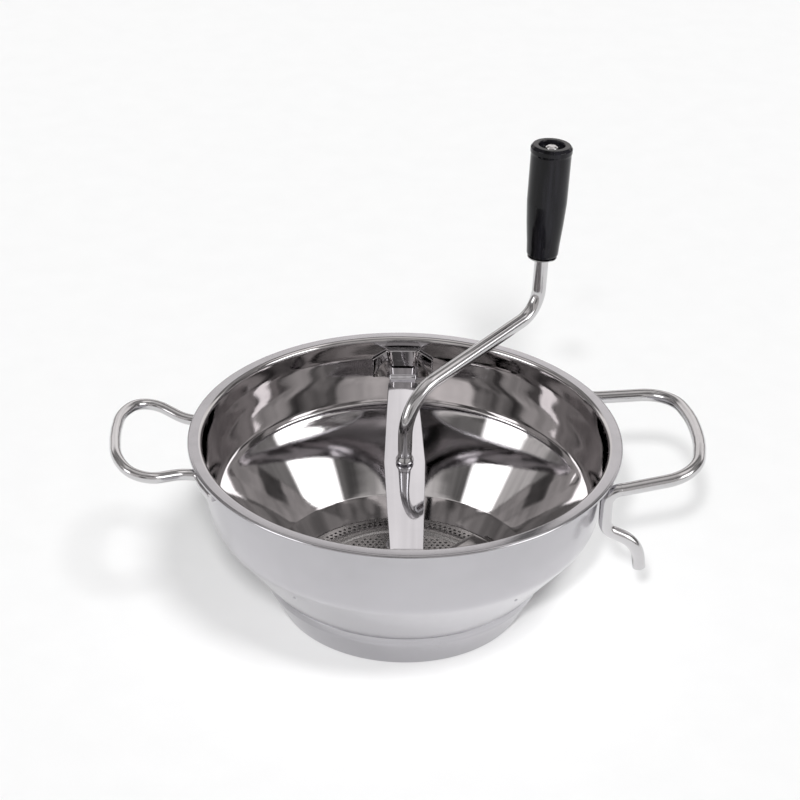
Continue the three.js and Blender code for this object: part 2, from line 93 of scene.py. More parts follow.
UP = Vector((0, 0, 1))
AROUND = 256  # facets round the bowl
FINE = math.radians(5)  # turn from facet to facet in a bend
STRAIGHT = 1e-4  # a turn smaller than this has no bend
SHARP = math.radians(38)  # edges that turn more than this are drawn sharp
WELD = 1e-7  # vertices closer than this are one vertex


# ---------- lines ----------

def polar(angle, reach=1.0, height=0.0):
    """A point at an angle round Z, from its distance to the axis and its height."""
    return Vector((reach * math.cos(angle), reach * math.sin(angle), height))


def smooth(t):
    """An S-curve from 0 to 1, level at both ends."""
    return t * t * (3 - 2 * t)


def rounded(corners, turn=FINE):
    """The points of a line round corners, each (point, bend radius)."""
    fewest = 3  # facets in a bend
    points = [corners[0][0]]
    for (before, _), (corner, radius), (after, _) in zip(corners, corners[1:], corners[2:]):
        into = (corner - before).normalized()
        out = (after - corner).normalized()
        sweep = into.angle(out)
        if sweep < STRAIGHT or radius == 0:
            points.append(corner)
            continue
        centre = corner + (out - into).normalized() * (radius / math.cos(sweep / 2))
        start = corner - into * (radius * math.tan(sweep / 2)) - centre
        count = max(fewest, math.ceil(sweep / turn))
        for i in range(count + 1):
            angle = sweep * i / count
            points.append(centre + start * math.cos(angle) + into * (radius * math.sin(angle)))
    points.append(corners[-1][0])
    return points


def refined(points, longest):
    """The same line with no step longer than the given length."""
    fine = [points[0]]
    for a, b in zip(points, points[1:]):
        count = max(1, math.ceil((b - a).length / longest))
        fine += [a.lerp(b, i / count) for i in range(1, count + 1)]
    return fine


def profile(corners, longest=2.5 * MM):
    """A fine (radius, height) line from corners of (radius, height, fillet) in millimetres."""
    line = rounded([(Vector((r * MM, z * MM, 0)), fillet * MM) for r, z, fillet in corners])
    return refined(line, longest)


def trimmed(line, length):
    """The line without its first stretch of the given length."""
    line = list(line)
    while (line[1] - line[0]).length <= length:
        length -= (line[1] - line[0]).length
        line.pop(0)
    line[0] = line[0] + (line[1] - line[0]).normalized() * length
    return line


def sheet_loop(line, thickness, cap=5):
    """The closed outline of a sheet to the left of a line, each end rounded in cap steps."""
    half = thickness / 2
    line = trimmed(trimmed(line, half)[::-1], half)[::-1]
    side = []
    for i, point in enumerate(line):
        before = (point - line[i - 1]) if i else (line[1] - point)
        after = (line[i + 1] - point) if i < len(line) - 1 else before
        a = Vector((-before.y, before.x, 0)).normalized()
        b = Vector((-after.y, after.x, 0)).normalized()
        mitre = (a + b).normalized()
        side.append(point + mitre * (thickness / mitre.dot(a)))

    def end(near, far, ahead):
        centre = (near + far) / 2
        out = near - centre
        angles = [math.pi * k / cap for k in range(1, cap)]
        return [centre + out * math.cos(a) + ahead * half * math.sin(a) for a in angles]

    forward = (line[-1] - line[-2]).normalized()
    backward = (line[0] - line[1]).normalized()
    return line + end(line[-1], side[-1], forward) + side[::-1] + end(side[0], line[0], backward)


# ---------- meshes ----------

def clean_mesh(name, geometry):
    """A mesh from (vertices, faces), welded, with its faces turned outwards."""
    mesh = bpy.data.meshes.new(name)
    mesh.from_pydata([tuple(v) for v in geometry[0]], [], geometry[1])
    bm = bmesh.new()
    bm.from_mesh(mesh)
    bmesh.ops.remove_doubles(bm, verts=bm.verts, dist=WELD)
    bmesh.ops.recalc_face_normals(bm, faces=bm.faces)
    bm.to_mesh(mesh)
    bm.free()
    return mesh


def add_piece(name, geometry, material, body, cad_node, sharp=SHARP):
    """A piece from (vertices, faces) that rides on a body in place of a CAD node."""
    mesh = clean_mesh(name, geometry)
    mesh.polygons.foreach_set("use_smooth", [True] * len(mesh.polygons))
    mesh.set_sharp_from_angle(angle=sharp)
    mesh.materials.append(material)
    piece = bpy.data.objects.new(name, mesh)
    bpy.context.scene.collection.objects.link(piece)
    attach(piece, body)
    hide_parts(cad_node)
    return piece


def cut(piece, geometry):
    """Cuts a closed body out of a piece."""
    cutter = bpy.data.objects.new("cutter", clean_mesh("cutter", geometry))
    bpy.context.scene.collection.objects.link(cutter)
    modifier = piece.modifiers.new("bore", "BOOLEAN")
    modifier.object = cutter
    modifier.operation = "DIFFERENCE"
    modifier.solver = "EXACT"
    bpy.context.view_layer.update()
    evaluated = piece.evaluated_get(bpy.context.evaluated_depsgraph_get())
    result = bpy.data.meshes.new_from_object(evaluated)
    piece.modifiers.clear()
    piece.data = result
    bpy.data.objects.remove(cutter)
    result.set_sharp_from_angle(angle=SHARP)


def grid_faces(rows, columns, closed_rows=False, closed_columns=False):
    """Four-sided faces between rows of vertices."""
    faces = []
    for i in range(rows if closed_rows else rows - 1):
        for j in range(columns if closed_columns else columns - 1):
            a, b = i, (i + 1) % rows
            c, d = j, (j + 1) % columns
            faces.append((a * columns + c, b * columns + c, b * columns + d, a * columns + d))
    return faces


def skin(verts, count):
    """A closed body from rings of count vertices each, with its two ends capped."""
    rows = len(verts) // count
    faces = grid_faces(rows, count, False, True)
    faces.append(tuple(range(count)))
    faces.append(tuple(range(len(verts) - count, len(verts))))
    return verts, faces


def lathe(loop, around=AROUND, closed=True):
    """Turns (radius, height) points about Z. An open line starts and ends on the axis."""
    verts = []
    for i in range(around):
        angle = 2 * math.pi * i / around
        verts += [(p.x * math.cos(angle), p.x * math.sin(angle), p.y) for p in loop]
    return verts, grid_faces(around, len(loop), True, closed)


def tube(line, radius, sides=32, round_end=0.6 * MM, longest=1.5 * MM):
    """A wire along a line of points no further apart than longest, its ends rounded over."""
    line = refined(line, longest)
    tangents = [(b - a).normalized() for a, b in zip(line, line[1:])]
    along = [tangents[0]] + [(a + b).normalized() for a, b in zip(tangents, tangents[1:])]
    along.append(tangents[-1])
    side = along[0].orthogonal().normalized()
    stations = []
    for i, point in enumerate(line):
        if i:
            side = along[i - 1].rotation_difference(along[i]) @ side
        stations.append((point, side.copy(), along[i].cross(side)))

    def circle(station, shift, size):
        point, u, v = station
        angles = [2 * math.pi * k / sides for k in range(sides)]
        centre = point + u.cross(v) * shift
        return [centre + (u * math.cos(a) + v * math.sin(a)) * size for a in angles]

    rounding = [
        (round_end * (1 - math.sin(a)), radius - round_end * (1 - math.cos(a)))
        for a in (math.pi / 2 * k / 4 for k in (4, 3, 2, 1))
    ]
    verts = []
    for shift, size in rounding:
        verts += circle(stations[0], shift, size)
    for station in stations[1:-1]:
        verts += circle(station, 0, radius)
    for shift, size in reversed(rounding):
        verts += circle(stations[-1], -shift, size)
    return skin(verts, sides)


def slab(outline, bottom, top, bevel, steps=3):
    """A plan outline (counter-clockwise Vectors) as a plate with rounded upper and lower edges."""
    shortest = 0.3  # keeps the mitre of a narrow corner short

    def inset(amount):
        points = []
        for i, p in enumerate(outline):
            before = (p - outline[i - 1]).normalized()
            after = (outline[(i + 1) % len(outline)] - p).normalized()
            a = Vector((-before.y, before.x, 0))
            b = Vector((-after.y, after.x, 0))
            mitre = (a + b).normalized()
            points.append(p + mitre * (amount / max(shortest, mitre.dot(a))))
        return points

    levels = []
    for k in range(steps + 1):
        angle = math.pi / 2 * k / steps
        levels.append((bevel * (1 - math.sin(angle)), bottom + bevel * (1 - math.cos(angle))))
    levels += [(amount, top - (height - bottom)) for amount, height in reversed(levels)]
    verts = []
    for amount, height in levels:
        verts += [Vector((p.x, p.y, height)) for p in inset(amount)]
    return skin(verts, len(outline))


def moved(geometry, matrix):
    """The same (vertices, faces) in another place."""
    return [matrix @ Vector(v) for v in geometry[0]], geometry[1]


def joined(*parts):
    """Separate closed bodies as one mesh."""
    verts, faces = [], []
    for part_verts, part_faces in parts:
        start = len(verts)
        verts += list(part_verts)
        faces += [tuple(start + i for i in face) for face in part_faces]
    return verts, faces


# ---------- shader nodes ----------

def new_material(name):
    """A material with a principled shader, its node tree and that shader."""
    material = bpy.data.materials.new(name)
    material.use_nodes = True
    tree = material.node_tree
    tree.nodes.clear()
    out = tree.nodes.new("ShaderNodeOutputMaterial")
    shader = tree.nodes.new("ShaderNodeBsdfPrincipled")
    tree.links.new(shader.outputs[0], out.inputs["Surface"])
    return material, tree, shader


def node(tree, kind, inputs=(), **settings):
    """A shader node with its inputs set, or linked where the value is a socket."""
    made = tree.nodes.new("ShaderNode" + kind)
    for key, value in settings.items():
        setattr(made, key, value)
    for key, value in dict(inputs).items():
        if isinstance(value, bpy.types.NodeSocket):
            tree.links.new(value, made.inputs[key])
        else:
            made.inputs[key].default_value = value
    return made


def maths(tree, operation, a, b=0.0):
    return node(tree, "Math", {0: a, 1: b}, operation=operation).outputs[0]


def product(tree, a, b):
    return maths(tree, "MULTIPLY", a, b)


def total(tree, a, b):
    return maths(tree, "ADD", a, b)


def scaled(tree, colour, amount):
    """A colour times a number."""
    return node(tree, "VectorMath", {0: colour, "Scale": amount}, operation="SCALE").outputs[0]


def vector_total(tree, a, b):
    return node(tree, "VectorMath", {0: a, 1: b}, operation="ADD").outputs[0]


def noise(tree, vector, scale, detail=3.0, roughness=0.5):
    settings = {"Vector": vector, "Scale": scale, "Detail": detail, "Roughness": roughness}
    return node(tree, "TexNoise", settings).outputs["Fac"]


def ranged(tree, value, low, high, to_low, to_high):
    return node(tree, "MapRange", {0: value, 1: low, 2: high, 3: to_low, 4: to_high}).outputs[0]


def bump(tree, shader, height, strength, distance):
    """Fine relief. Distance is what one unit of height stands for, in metres."""
    made = node(tree, "Bump", {"Height": height, "Strength": strength, "Distance": distance})
    tree.links.new(made.outputs[0], shader.inputs["Normal"])


def axis_distance(tree, x, y):
    """Distance from the axis."""
    return maths(tree, "SQRT", total(tree, product(tree, x, x), product(tree, y, y)))


def turned_place(tree, place):
    """A place as (radius, height, a little of the angle), so that noise runs round Z."""
    little = 0.004
    x, y, z = node(tree, "SeparateXYZ", {0: place}).outputs
    radius = axis_distance(tree, x, y)
    angle = product(tree, maths(tree, "ARCTAN2", y, x), little)
    return node(tree, "CombineXYZ", {0: radius, 1: z, 2: angle}).outputs[0]


def ring_waves(tree, place):
    """Noise in long streaks round Z, as spinning leaves it."""
    scale = 70
    arc = 0.025  # how much of the noise a radian of turn runs through, in metres
    x, y, z = node(tree, "SeparateXYZ", {0: place}).outputs
    radius = axis_distance(tree, x, y)
    across = product(tree, maths(tree, "DIVIDE", x, radius), arc)
    ahead = product(tree, maths(tree, "DIVIDE", y, radius), arc)
    vector = node(tree, "CombineXYZ", {0: radius, 1: z, 2: across}).outputs[0]
    settings = {"Vector": vector, "W": ahead, "Scale": scale, "Detail": 1.0}
    return node(tree, "TexNoise", settings, noise_dimensions="4D").outputs["Fac"]


# Mask of the outer faces, which get a rougher finish and a darker tint that is painted shade.
def looks_away(tree):
    """1 on faces that look away from the axis or straight up, 0 on faces that look towards it."""
    geometry = node(tree, "NewGeometry")
    place, normal = geometry.outputs["Position"], geometry.outputs["Normal"]
    flat = node(tree, "VectorMath", {0: place, 1: (1, 1, 0)}, operation="MULTIPLY").outputs[0]
    outward = node(tree, "VectorMath", {0: flat}, operation="NORMALIZE").outputs[0]
    facing = node(tree, "VectorMath", {0: outward, 1: normal}, operation="DOT_PRODUCT")
    return ranged(tree, facing.outputs["Value"], -0.3, -0.1, 0.0, 1.0)


# ---------- materials ----------

GRAIN_SCALE = 5200  # of the lathe and drawing lines, per metre
SMEAR_SCALE = 38
CLOUD_SCALE = 9
WAVE_SCALE = 26
WAVE_HEIGHT = 6.0  # of the slow waves, against the lines' height
STEEL_BUMP = 0.3, 0.00001  # strength, and metres for each unit of height


def steel(name, tint, roughness, lines, smudge=0.05, turned=True, outside=None, rings=0.0):
    """Polished steel: lathe or drawing lines, faint smudges and slow waves in the surface.

    Lines is the height of the fine lines, which run round the axis where turned is set.
    Smudge is how much rougher the smudges are. Outside is the (tint, roughness) of the faces
    that look away from the axis, its tint darkened there as painted shade, and rings is the
    height of the long waves left by spinning.
    """
    material, tree, shader = new_material(name)
    place = node(tree, "TexCoord").outputs["Object"]
    grain = noise(tree, turned_place(tree, place) if turned else place, GRAIN_SCALE, 4.0, 0.6)
    smear = noise(tree, place, SMEAR_SCALE, 5.0, 0.62)
    shade = ranged(tree, noise(tree, place, CLOUD_SCALE, 2.0), 0.3, 0.7, 0.94, 1.04)
    worn = ranged(tree, smear, 0.45, 0.75, 1.0, 0.95)
    rough = total(tree, ranged(tree, smear, 0.5, 0.8, 0.0, smudge), roughness)
    streak = ranged(tree, grain, 0.3, 0.7, -0.2 * roughness, 0.2 * roughness)
    if outside:
        away = looks_away(tree)
        outer_shaded_tint, outer_roughness = outside
        change = [b - a for a, b in zip(tint, outer_shaded_tint)]
        # The faces that look away take the outside's darker tint: painted shade.
        tint = vector_total(tree, tint, scaled(tree, change, away))
        rough = total(tree, rough, product(tree, away, outer_roughness - roughness))
    colour = scaled(tree, tint, product(tree, shade, worn))
    tree.links.new(colour, shader.inputs["Base Color"])
    tree.links.new(total(tree, rough, streak), shader.inputs["Roughness"])
    shader.inputs["Metallic"].default_value = 1.0
    wave = product(tree, noise(tree, place, WAVE_SCALE, 1.0), WAVE_HEIGHT)
    height = total(tree, wave, product(tree, grain, lines))
    if rings:
        height = total(tree, height, product(tree, ring_waves(tree, place), rings))
    bump(tree, shader, height, *STEEL_BUMP)
    return material


def black_plastic():
    """Glossy moulded phenolic: faint orange peel, grey streaks along the grip and dulled patches."""
    base = (0.0027, 0.0026, 0.0034)
    peel_bump = 0.15, 0.00004
    material, tree, shader = new_material("moulded_black")
    place = node(tree, "TexCoord").outputs["Object"]
    drawn_out = {0: place, 1: (1, 1, 0.1)}
    along = node(tree, "VectorMath", drawn_out, operation="MULTIPLY").outputs[0]
    # Lighter grey streaks along the grip, from noise stretched along its length.
    grey_streaks = ranged(tree, noise(tree, along, 110, 4.0, 0.6), 0.42, 0.66, 0.6, 5.0)
    tree.links.new(scaled(tree, base, grey_streaks), shader.inputs["Base Color"])
    dull = ranged(tree, noise(tree, place, 150, 4.0, 0.65), 0.35, 0.75, 0.1, 0.2)
    tree.links.new(dull, shader.inputs["Roughness"])
    shader.inputs["IOR"].default_value = 1.33
    bump(tree, shader, noise(tree, place, 300, 1.5), *peel_bump)
    return material


# The bowl's outside: rougher, as brushed, and with its tint darkened as painted shade that dims the
# bright floor it mirrors.
OUTSIDE_WITH_PAINTED_SHADE = (0.52, 0.511, 0.534), 0.2
MIRROR = steel("polished_steel", (0.60, 0.583, 0.588), 0.03, 1.2, outside=OUTSIDE_WITH_PAINTED_SHADE, rings=25.0)
# The foot band's steel: rougher, as brushed, with its tint darkened as painted shade that dims the
# bright floor it mirrors.
OUTER_SHADED = steel("brushed_outside_painted_shade", (0.45, 0.442, 0.463), 0.22, 3.0)
WIRE = steel("polished_wire", (0.62, 0.61, 0.62), 0.14, 1.0, turned=False)
SATIN = steel("satin_steel", (0.69, 0.675, 0.67), 0.26, 1.5, smudge=0.06)
SPRING = steel("spring_wire", (0.45, 0.45, 0.47), 0.26, 2.0, smudge=0.08, turned=False)
BAR = steel("polished_bar", (0.62, 0.61, 0.64), 0.03, 0.6, turned=False)
BLADE = steel("polished_blade", (0.6, 0.585, 0.585), 0.06, 1.0)
BLACK = black_plastic()


# ---------- bowl and foot ----------

PIP_TURN = math.radians(35.8)  # either side of the bowl's front
PIP_RADIUS = 100.8 * MM
PIP_HEIGHT = 51 * MM


def bowl_line():
    """The bowl's outside, from the disc's ledge up to the flange's turned-down edge."""
    ledge = BOWL_LOW.z / MM
    rim = (RIM_RADIUS - SHEET) / MM
    under = (RIM_TOP - SHEET) / MM
    return profile([
        (60.5, ledge, 0),
        (67.8, ledge, 1.4),
        (*COLLAR_TOP, 6),
        (*CONE_TOP, 18),
        (112, 78, 60),
        (113.2, 92, 40),
        (WALL_RADIUS / MM, under, 1.4),
        (rim, under, 0.5),
        (rim, under - 1.3, 0),
    ])


def pip(angle):
    """A raised point on the cone's outside, at an angle round the axis."""
    corners = [(0, -0.4, 0), (1.0, -0.4, 0), (1.0, 0, 0), (0.6, 0.4, 0.4), (0, 0.5, 0)]
    point = lathe(profile(corners, 0.3 * MM), 16, False)
    cone_out, cone_up = (b - a for a, b in zip(COLLAR_TOP, CONE_TOP))
    normal = polar(angle, cone_up, -cone_out).normalized()
    turn = UP.rotation_difference(normal).to_matrix().to_4x4()
    return moved(point, Matrix.Translation(polar(angle, PIP_RADIUS, PIP_HEIGHT)) @ turn)


def build_bowl():
    """The bowl, and the two small pips on the front of its cone."""
    front = math.radians(-90)
    pips = [pip(front - PIP_TURN), pip(front + PIP_TURN)]
    shell = lathe(sheet_loop(bowl_line(), SHEET))
    add_piece("bowl_shell", joined(shell, *pips), MIRROR, "frame", "bowl")


def build_foot():
    """A flared band, welded to the cone along its upper edge, with a soft crease below the weld."""
    line = profile([
        (65.3, 0, 0),
        (69.8, 0, 1.4),
        (79.1, 18.2, 2),
        (79.4, 20, 0.9),
        (80.0, 21.1, 1.2),
        (80.3, 24, 0),
    ], 0.8 * MM)
    band = lathe(sheet_loop(line, SHEET))
    # The band's steel is darkened as painted shade.
    add_piece("foot_band", band, OUTER_SHADED, "frame", "foot_ring")


# ---------- handles ----------

def welded_end(width, wire, length):
    """The end of a handle's leg, which follows the wall, and the corner where it turns out."""
    radius = WALL_RADIUS + 2 * GAP + wire
    start = math.asin(width / radius)
    half = math.atan(length / 2 / radius)
    return [
        (polar(start + 2 * half, radius, LEG_HEIGHT), 0),
        (polar(start + half, radius / math.cos(half), LEG_HEIGHT), 30 * MM),
        (polar(start, radius, LEG_HEIGHT), wire + 1.5 * MM),
    ]


def loop_corners(half, tip=()):
    """Both halves of a loop from corners of (out, half width, rise, bend radius) in millimetres."""
    def corner(sign, out, width, rise, radius):
        return Vector((out * MM, sign * width * MM, LEG_HEIGHT + rise * MM)), radius * MM
    first = [corner(1, *c) for c in half]
    return first + [corner(0, *c) for c in tip] + [corner(-1, *c) for c in reversed(half)]


def mirrored(corners):
    """A line's corners on the other side of the mill, in the opposite order."""
    return [(Vector((p.x, -p.y, p.z)), radius) for p, radius in reversed(corners)]


def build_left_handle():
    """A closed loop of wire, whose ends follow the bowl's wall."""
    wire = 3.1 * MM
    end = welded_end(28.5 * MM, wire, 24 * MM)
    half = [(123, 29.5, 1.4, 20), (145, 44, 6.4, 14), (157.3, 24, 8.6, 38)]
    loop = loop_corners(half, [(159.8, 0, 9, 140)])
    line = rounded(end + loop + mirrored(end))
    shape = moved(tube(line, wire), Matrix.Rotation(math.pi + HANDLE_TURN, 4, "Z"))
    add_piece("left_loop", shape, WIRE, "frame", "left_handle")


def build_right_handle():
    """The wire of this handle goes on into a pot hook that hangs down from its front leg."""
    wire = 3.6 * MM
    width = 50.5 * MM
    end = welded_end(width, wire, 16 * MM)
    loop = loop_corners([(114, 49.7, 0, 30), (155, 44.5, 5.1, 25), (162.2, 14, 6.5, 98)])
    at_wall = end[-1][0].x
    hook = [
        (Vector((at_wall + out * MM, -width, LEG_HEIGHT - down * MM)), radius * MM)
        for out, down, radius in ((0, 0, 8), (0, 24.2, 9), (18.4, 33.4, 18), (20.8, 49.7, 0))
    ]
    line = rounded(end + loop + hook)
    shape = moved(tube(line, wire), Matrix.Rotation(HANDLE_TURN, 4, "Z"))
    add_piece("right_loop", shape, WIRE, "frame", "right_handle")


# ---------- bridge bar ----------

SHOULDER_AT = 88 * MM  # where the bar's sides turn in to its tabs
NECK = 3 * MM  # length of that turn
TAPER = 1.5 * MM  # length of the narrowing at the tabs' ends
TAPER_SLOPE = 0.6
BAR_EDGE = 0.45 * MM  # rounding of the bar's edges


def bar_height(y):
    """Top of the bar at a distance from the axis: flat, then an S-bend up to the tab."""
    start, end = 92.9 * MM, 95.1 * MM
    return BAR_TOP + STEP_UP * smooth(min(1.0, max(0.0, (abs(y) - start) / (end - start))))


def bar_half_width(y):
    """Half the bar's width: widest at the crank, then narrowing to the tabs."""
    middle, shoulder, tab = BAR_HIGH.x, 8.7 * MM, 7.8 * MM
    at = abs(y)
    if at < SHOULDER_AT:
        return middle + (shoulder - middle) * at / SHOULDER_AT
    return shoulder + (tab - shoulder) * min(1.0, (at - SHOULDER_AT) / NECK)


def bar_stations(end):
    """Distances along the bar, closer together where it steps up."""
    near, far = 86 * MM, 97 * MM
    half = [0.0]
    while half[-1] < end:
        step = 0.2 * MM if near < half[-1] < far else 2 * MM
        half.append(min(end, half[-1] + step))
    return [-y for y in reversed(half[1:])] + half


def bar_section(y, end):
    """The bar's section with rounded edges, square to its slope."""
    nudge = 0.05 * MM
    half = BAR_SHEET / 2
    width = bar_half_width(y) - TAPER_SLOPE * max(0.0, abs(y) - (end - TAPER))
    slope = (bar_height(y + nudge) - bar_height(y - nudge)) / (2 * nudge)
    normal = Vector((0, -slope, 1)).normalized()
    middle = Vector((0, y, bar_height(y))) - normal * half
    section = []
    for side_x, side_z, start in ((1, 1, 0), (-1, 1, 90), (-1, -1, 180), (1, -1, 270)):
        for turn in (0, 30, 60, 90):
            angle = math.radians(start + turn)
            x = side_x * (width - BAR_EDGE) + BAR_EDGE * math.cos(angle)
            z = side_z * (half - BAR_EDGE) + BAR_EDGE * math.sin(angle)
            section.append(middle + Vector((x, 0, 0)) + normal * z)
    return section


def build_bar():
    """A flat strip across the bowl, bored for the rod, with stepped-up tabs under the hats."""
    end = BAR_HIGH.y - 0.02 * MM
    sections = [bar_section(y, end) for y in bar_stations(end)]
    strip = skin([v for section in sections for v in section], len(sections[0]))
    bar = add_piece("bar_strip", strip, BAR, "frame", "bridge_bar")
    bore = ROD + ROD_CLEARANCE
    below, above = BAR_LOW.z - MM, BAR_TOP + MM
    hole = [Vector((r, z, 0)) for r, z in ((0, below), (bore, below), (bore, above), (0, above))]
    cut(bar, lathe(hole, 64, False))


# ---------- brackets ----------

BRACKET_BACK = 111 * MM  # back of a bracket at its mid height, just clear of the wall
BRACKET_BOTTOM = 79.2 * MM
BRACKET_TOP = 97 * MM
BRACKET_EDGE = 0.3 * MM  # rounding of the sheet's edges
OPENING = 9.2 * MM  # half the width of the opening for the bar's tab
HAT_BOTTOM = TAB_TOP + 0.4 * MM
HAT_TOP = 98.5 * MM


def on_wall(corners):
    """A plate with rounded edges on the wall's curve, from corners of (across, height)."""
    ring = [(Vector((x, z, 0)), 0.8 * MM) for x, z in corners]
    line = rounded([ring[-1]] + ring + [ring[0]])[1:-1]
    outline = refined(line + [line[0]], 1.5 * MM)[:-1]
    verts, faces = slab(outline, 0, SHEET, BRACKET_EDGE)
    return [polar(math.pi / 2 - v.x / BRACKET_BACK, BRACKET_BACK - v.z, v.y) for v in verts], faces


def wing(side):
    """One side of a bracket's plate, with its upper corner cut off."""
    half_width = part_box("rear_bracket")[1].x
    corner = 6 * MM
    corners = [
        (OPENING, BRACKET_BOTTOM),
        (half_width, BRACKET_BOTTOM),
        (half_width, BRACKET_TOP - corner),
        (half_width - 1.6 * corner, BRACKET_TOP),
        (OPENING - 2 * MM, BRACKET_TOP),
        (OPENING - 2 * MM, HAT_BOTTOM + MM),
        (OPENING, HAT_BOTTOM),
    ]
    return on_wall([(side * x, z) for x, z in corners][::side])


def web():
    """The plate behind the hat, between the wings."""
    half = OPENING - 2.3 * MM
    low = HAT_BOTTOM + MM
    return on_wall([(-half, low), (half, low), (half, BRACKET_TOP), (-half, BRACKET_TOP)])


def hat():
    """A roofed channel over the bar's tab, narrower at its mouth than at its top."""
    front = BRACKET_BACK - 6.85 * MM
    root = BRACKET_BACK - 0.6 * SHEET
    bend = 1.6 * MM
    rows = 14
    verts = []
    for i in range(rows + 1):
        t = i / rows
        front_half = (6.4 + 1.2 * t) * MM
        root_half = (8.9 + 1.9 * t) * MM
        line = rounded([
            (Vector((-root_half, root, 0)), 0),
            (Vector((-front_half, front, 0)), bend),
            (Vector((front_half, front, 0)), bend),
            (Vector((root_half, root, 0)), 0),
        ], math.radians(12))
        loop = sheet_loop(line, SHEET)
        height = HAT_BOTTOM + (HAT_TOP - HAT_BOTTOM) * t
        verts += [Vector((p.x, p.y, height)) for p in loop]
    near, far = front + 0.1 * MM, BRACKET_BACK - 0.7 * MM
    plan = [(-front_half, near), (front_half, near), (root_half, far), (-root_half, far)]
    outline = [Vector((x, y, 0)) for x, y in plan]
    roof = slab(outline, HAT_TOP - 0.8 * MM, HAT_TOP + 0.1 * MM, BRACKET_EDGE)
    return joined(skin(verts, len(loop)), roof)


def build_brackets():
    """A pressed sheet on the wall at each end of the bar, leaning as the wall does."""
    middle = Vector((0, BRACKET_BACK, (BRACKET_BOTTOM + BRACKET_TOP) / 2))
    lean = Matrix.Translation(middle) @ Matrix.Rotation(-WALL_LEAN, 4, "X") @ Matrix.Translation(-middle)
    rear = moved(joined(wing(1), wing(-1), web(), hat()), lean)
    front = moved(rear, Matrix.Rotation(math.pi, 4, "Z"))
    add_piece("rear_clip", rear, MIRROR, "frame", "rear_bracket")
    add_piece("front_clip", front, MIRROR, "frame", "front_bracket")


# ---------- crank and grip ----------

GRIP_FROM = 34.8 * MM  # along the grip's axis, from the crank's corner to the grip's underside
GRIP_LENGTH = 67 * MM
RECESS = 5.2 * MM  # depth of the recess in the grip's top
HEAD_FROM = 3.1 * MM  # from the recess's floor up to the riveted head


def build_crank():
    """One bent rod from the disc to the rivet in the grip, with a bead that rests on the bar."""
    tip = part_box("crank_rod")[0].z
    pin_end = GRIP_FROM + GRIP_LENGTH - RECESS + HEAD_FROM - GAP
    line = rounded([
        (Vector((0, 0, tip)), 0),
        (Vector((0, 0, ARM_HEIGHT)), 26 * MM),
        (CORNER, 17 * MM),
        (CORNER + GRIP_AXIS * pin_end, 0),
    ], math.radians(3))
    rod = ROD / MM
    base = BAR_TOP / MM + 0.5
    bead = profile([
        (rod - 0.5, base, 0),
        (rod + 1.1, base, 0.8),
        (rod + 1.1, base + 1.7, 1.1),
        (rod + 0.05, base + 4.2, 2.5),
        (rod - 0.05, base + 6.5, 0),
        (rod - 0.5, base + 6.5, 0),
    ], 0.4 * MM)
    shape = joined(tube(line, ROD, 40), lathe(bead, 64))
    add_piece("crank_wire", shape, WIRE, "crank", "crank_rod")


def grip_frame():
    """Places a piece on the grip's pin, with z = 0 at the grip's underside."""
    turn = UP.rotation_difference(GRIP_AXIS).to_matrix().to_4x4()
    return Matrix.Translation(CORNER + GRIP_AXIS * GRIP_FROM) @ turn


def build_grip():
    """A tapered grip, bored for the pin, with a recess round the riveted end."""
    bore = (ROD + ROD_CLEARANCE) / MM
    top = GRIP_LENGTH / MM
    floor = top - RECESS / MM
    line = profile([
        (bore, 0, 0), (7.8, 0, 0.9), (9.0, 1.6, 1.2),
        (9.4, 8, 30), (10.5, 20, 60), (11.35, 33, 30), (11.4, 46, 80),
        (11.45, top - 5.2, 3), (11.8, top - 3.9, 1), (11.8, top - 1.6, 1), (10.5, top, 0.8),
        (7.6, top, 0.4), (7.2, top - 0.6, 0.4), (7.2, floor, 0.5), (bore, floor, 0),
    ], 1.2 * MM)
    shape = moved(lathe(line, 96), grip_frame())
    add_piece("grip_handle", shape, BLACK, "grip", "grip")


def washer_section(inner, outer, bottom, thickness, edge=0.25):
    """A washer's section, in millimetres, with softened edges."""
    top = bottom + thickness
    middle = (inner + outer) / 2
    return profile([
        (middle, bottom, 0),
        (outer, bottom, edge),
        (outer, top, edge),
        (inner, top, edge),
        (inner, bottom, edge),
        (middle, bottom, 0),
    ], 0.6 * MM)[:-1]


def build_grip_hardware():
    """The washer under the grip, and the washer and riveted head in its recess."""
    bore = (ROD + ROD_CLEARANCE) / MM
    floor = (GRIP_LENGTH - RECESS) / MM
    base = floor + HEAD_FROM / MM
    below = lathe(washer_section(bore, 8.5, -1, 0.7), 96)
    above = lathe(washer_section(bore, 6.4, floor + 0.3, 0.9), 96)
    corners = [(0, 0, 0), (3.9, 0, 0.3), (3.5, 0.9, 0.8), (2.2, 1.55, 1), (0, 1.7, 0)]
    head = lathe(profile([(r, base + z, fillet) for r, z, fillet in corners], 0.3 * MM), 64, False)
    for name, shape, cad_node in (
        ("grip_seat_ring", below, "grip_lower_washer"),
        ("grip_rivet_ring", above, "grip_upper_washer"),
        ("grip_rivet", head, "grip_rivet_head"),
    ):
        add_piece(name, moved(shape, grip_frame()), WIRE, "crank", cad_node)


# ---------- spring, hub and blade ----------

def build_spring():
    """A helical spring with closed ends; on the real mill it shortens as the blade lifts."""
    low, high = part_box("spring")
    wire = 0.8 * MM
    radius = 7 * MM
    turns = 7.5
    closed = 0.35  # how far the end turns close up on their neighbours
    steps = 420
    line = []
    for i in range(steps + 1):
        t = i / steps
        climb = smooth(t) * closed + t * (1 - closed)
        height = low.z + wire + (high.z - low.z - 2 * wire) * climb
        line.append(polar(2 * math.pi * turns * t, radius, height))
    coil = tube(line, wire, 12, 0.2 * MM, 5 * MM)
    piece = add_piece("spring_coil", coil, SPRING, "spring_seat", "spring")
    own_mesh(piece)


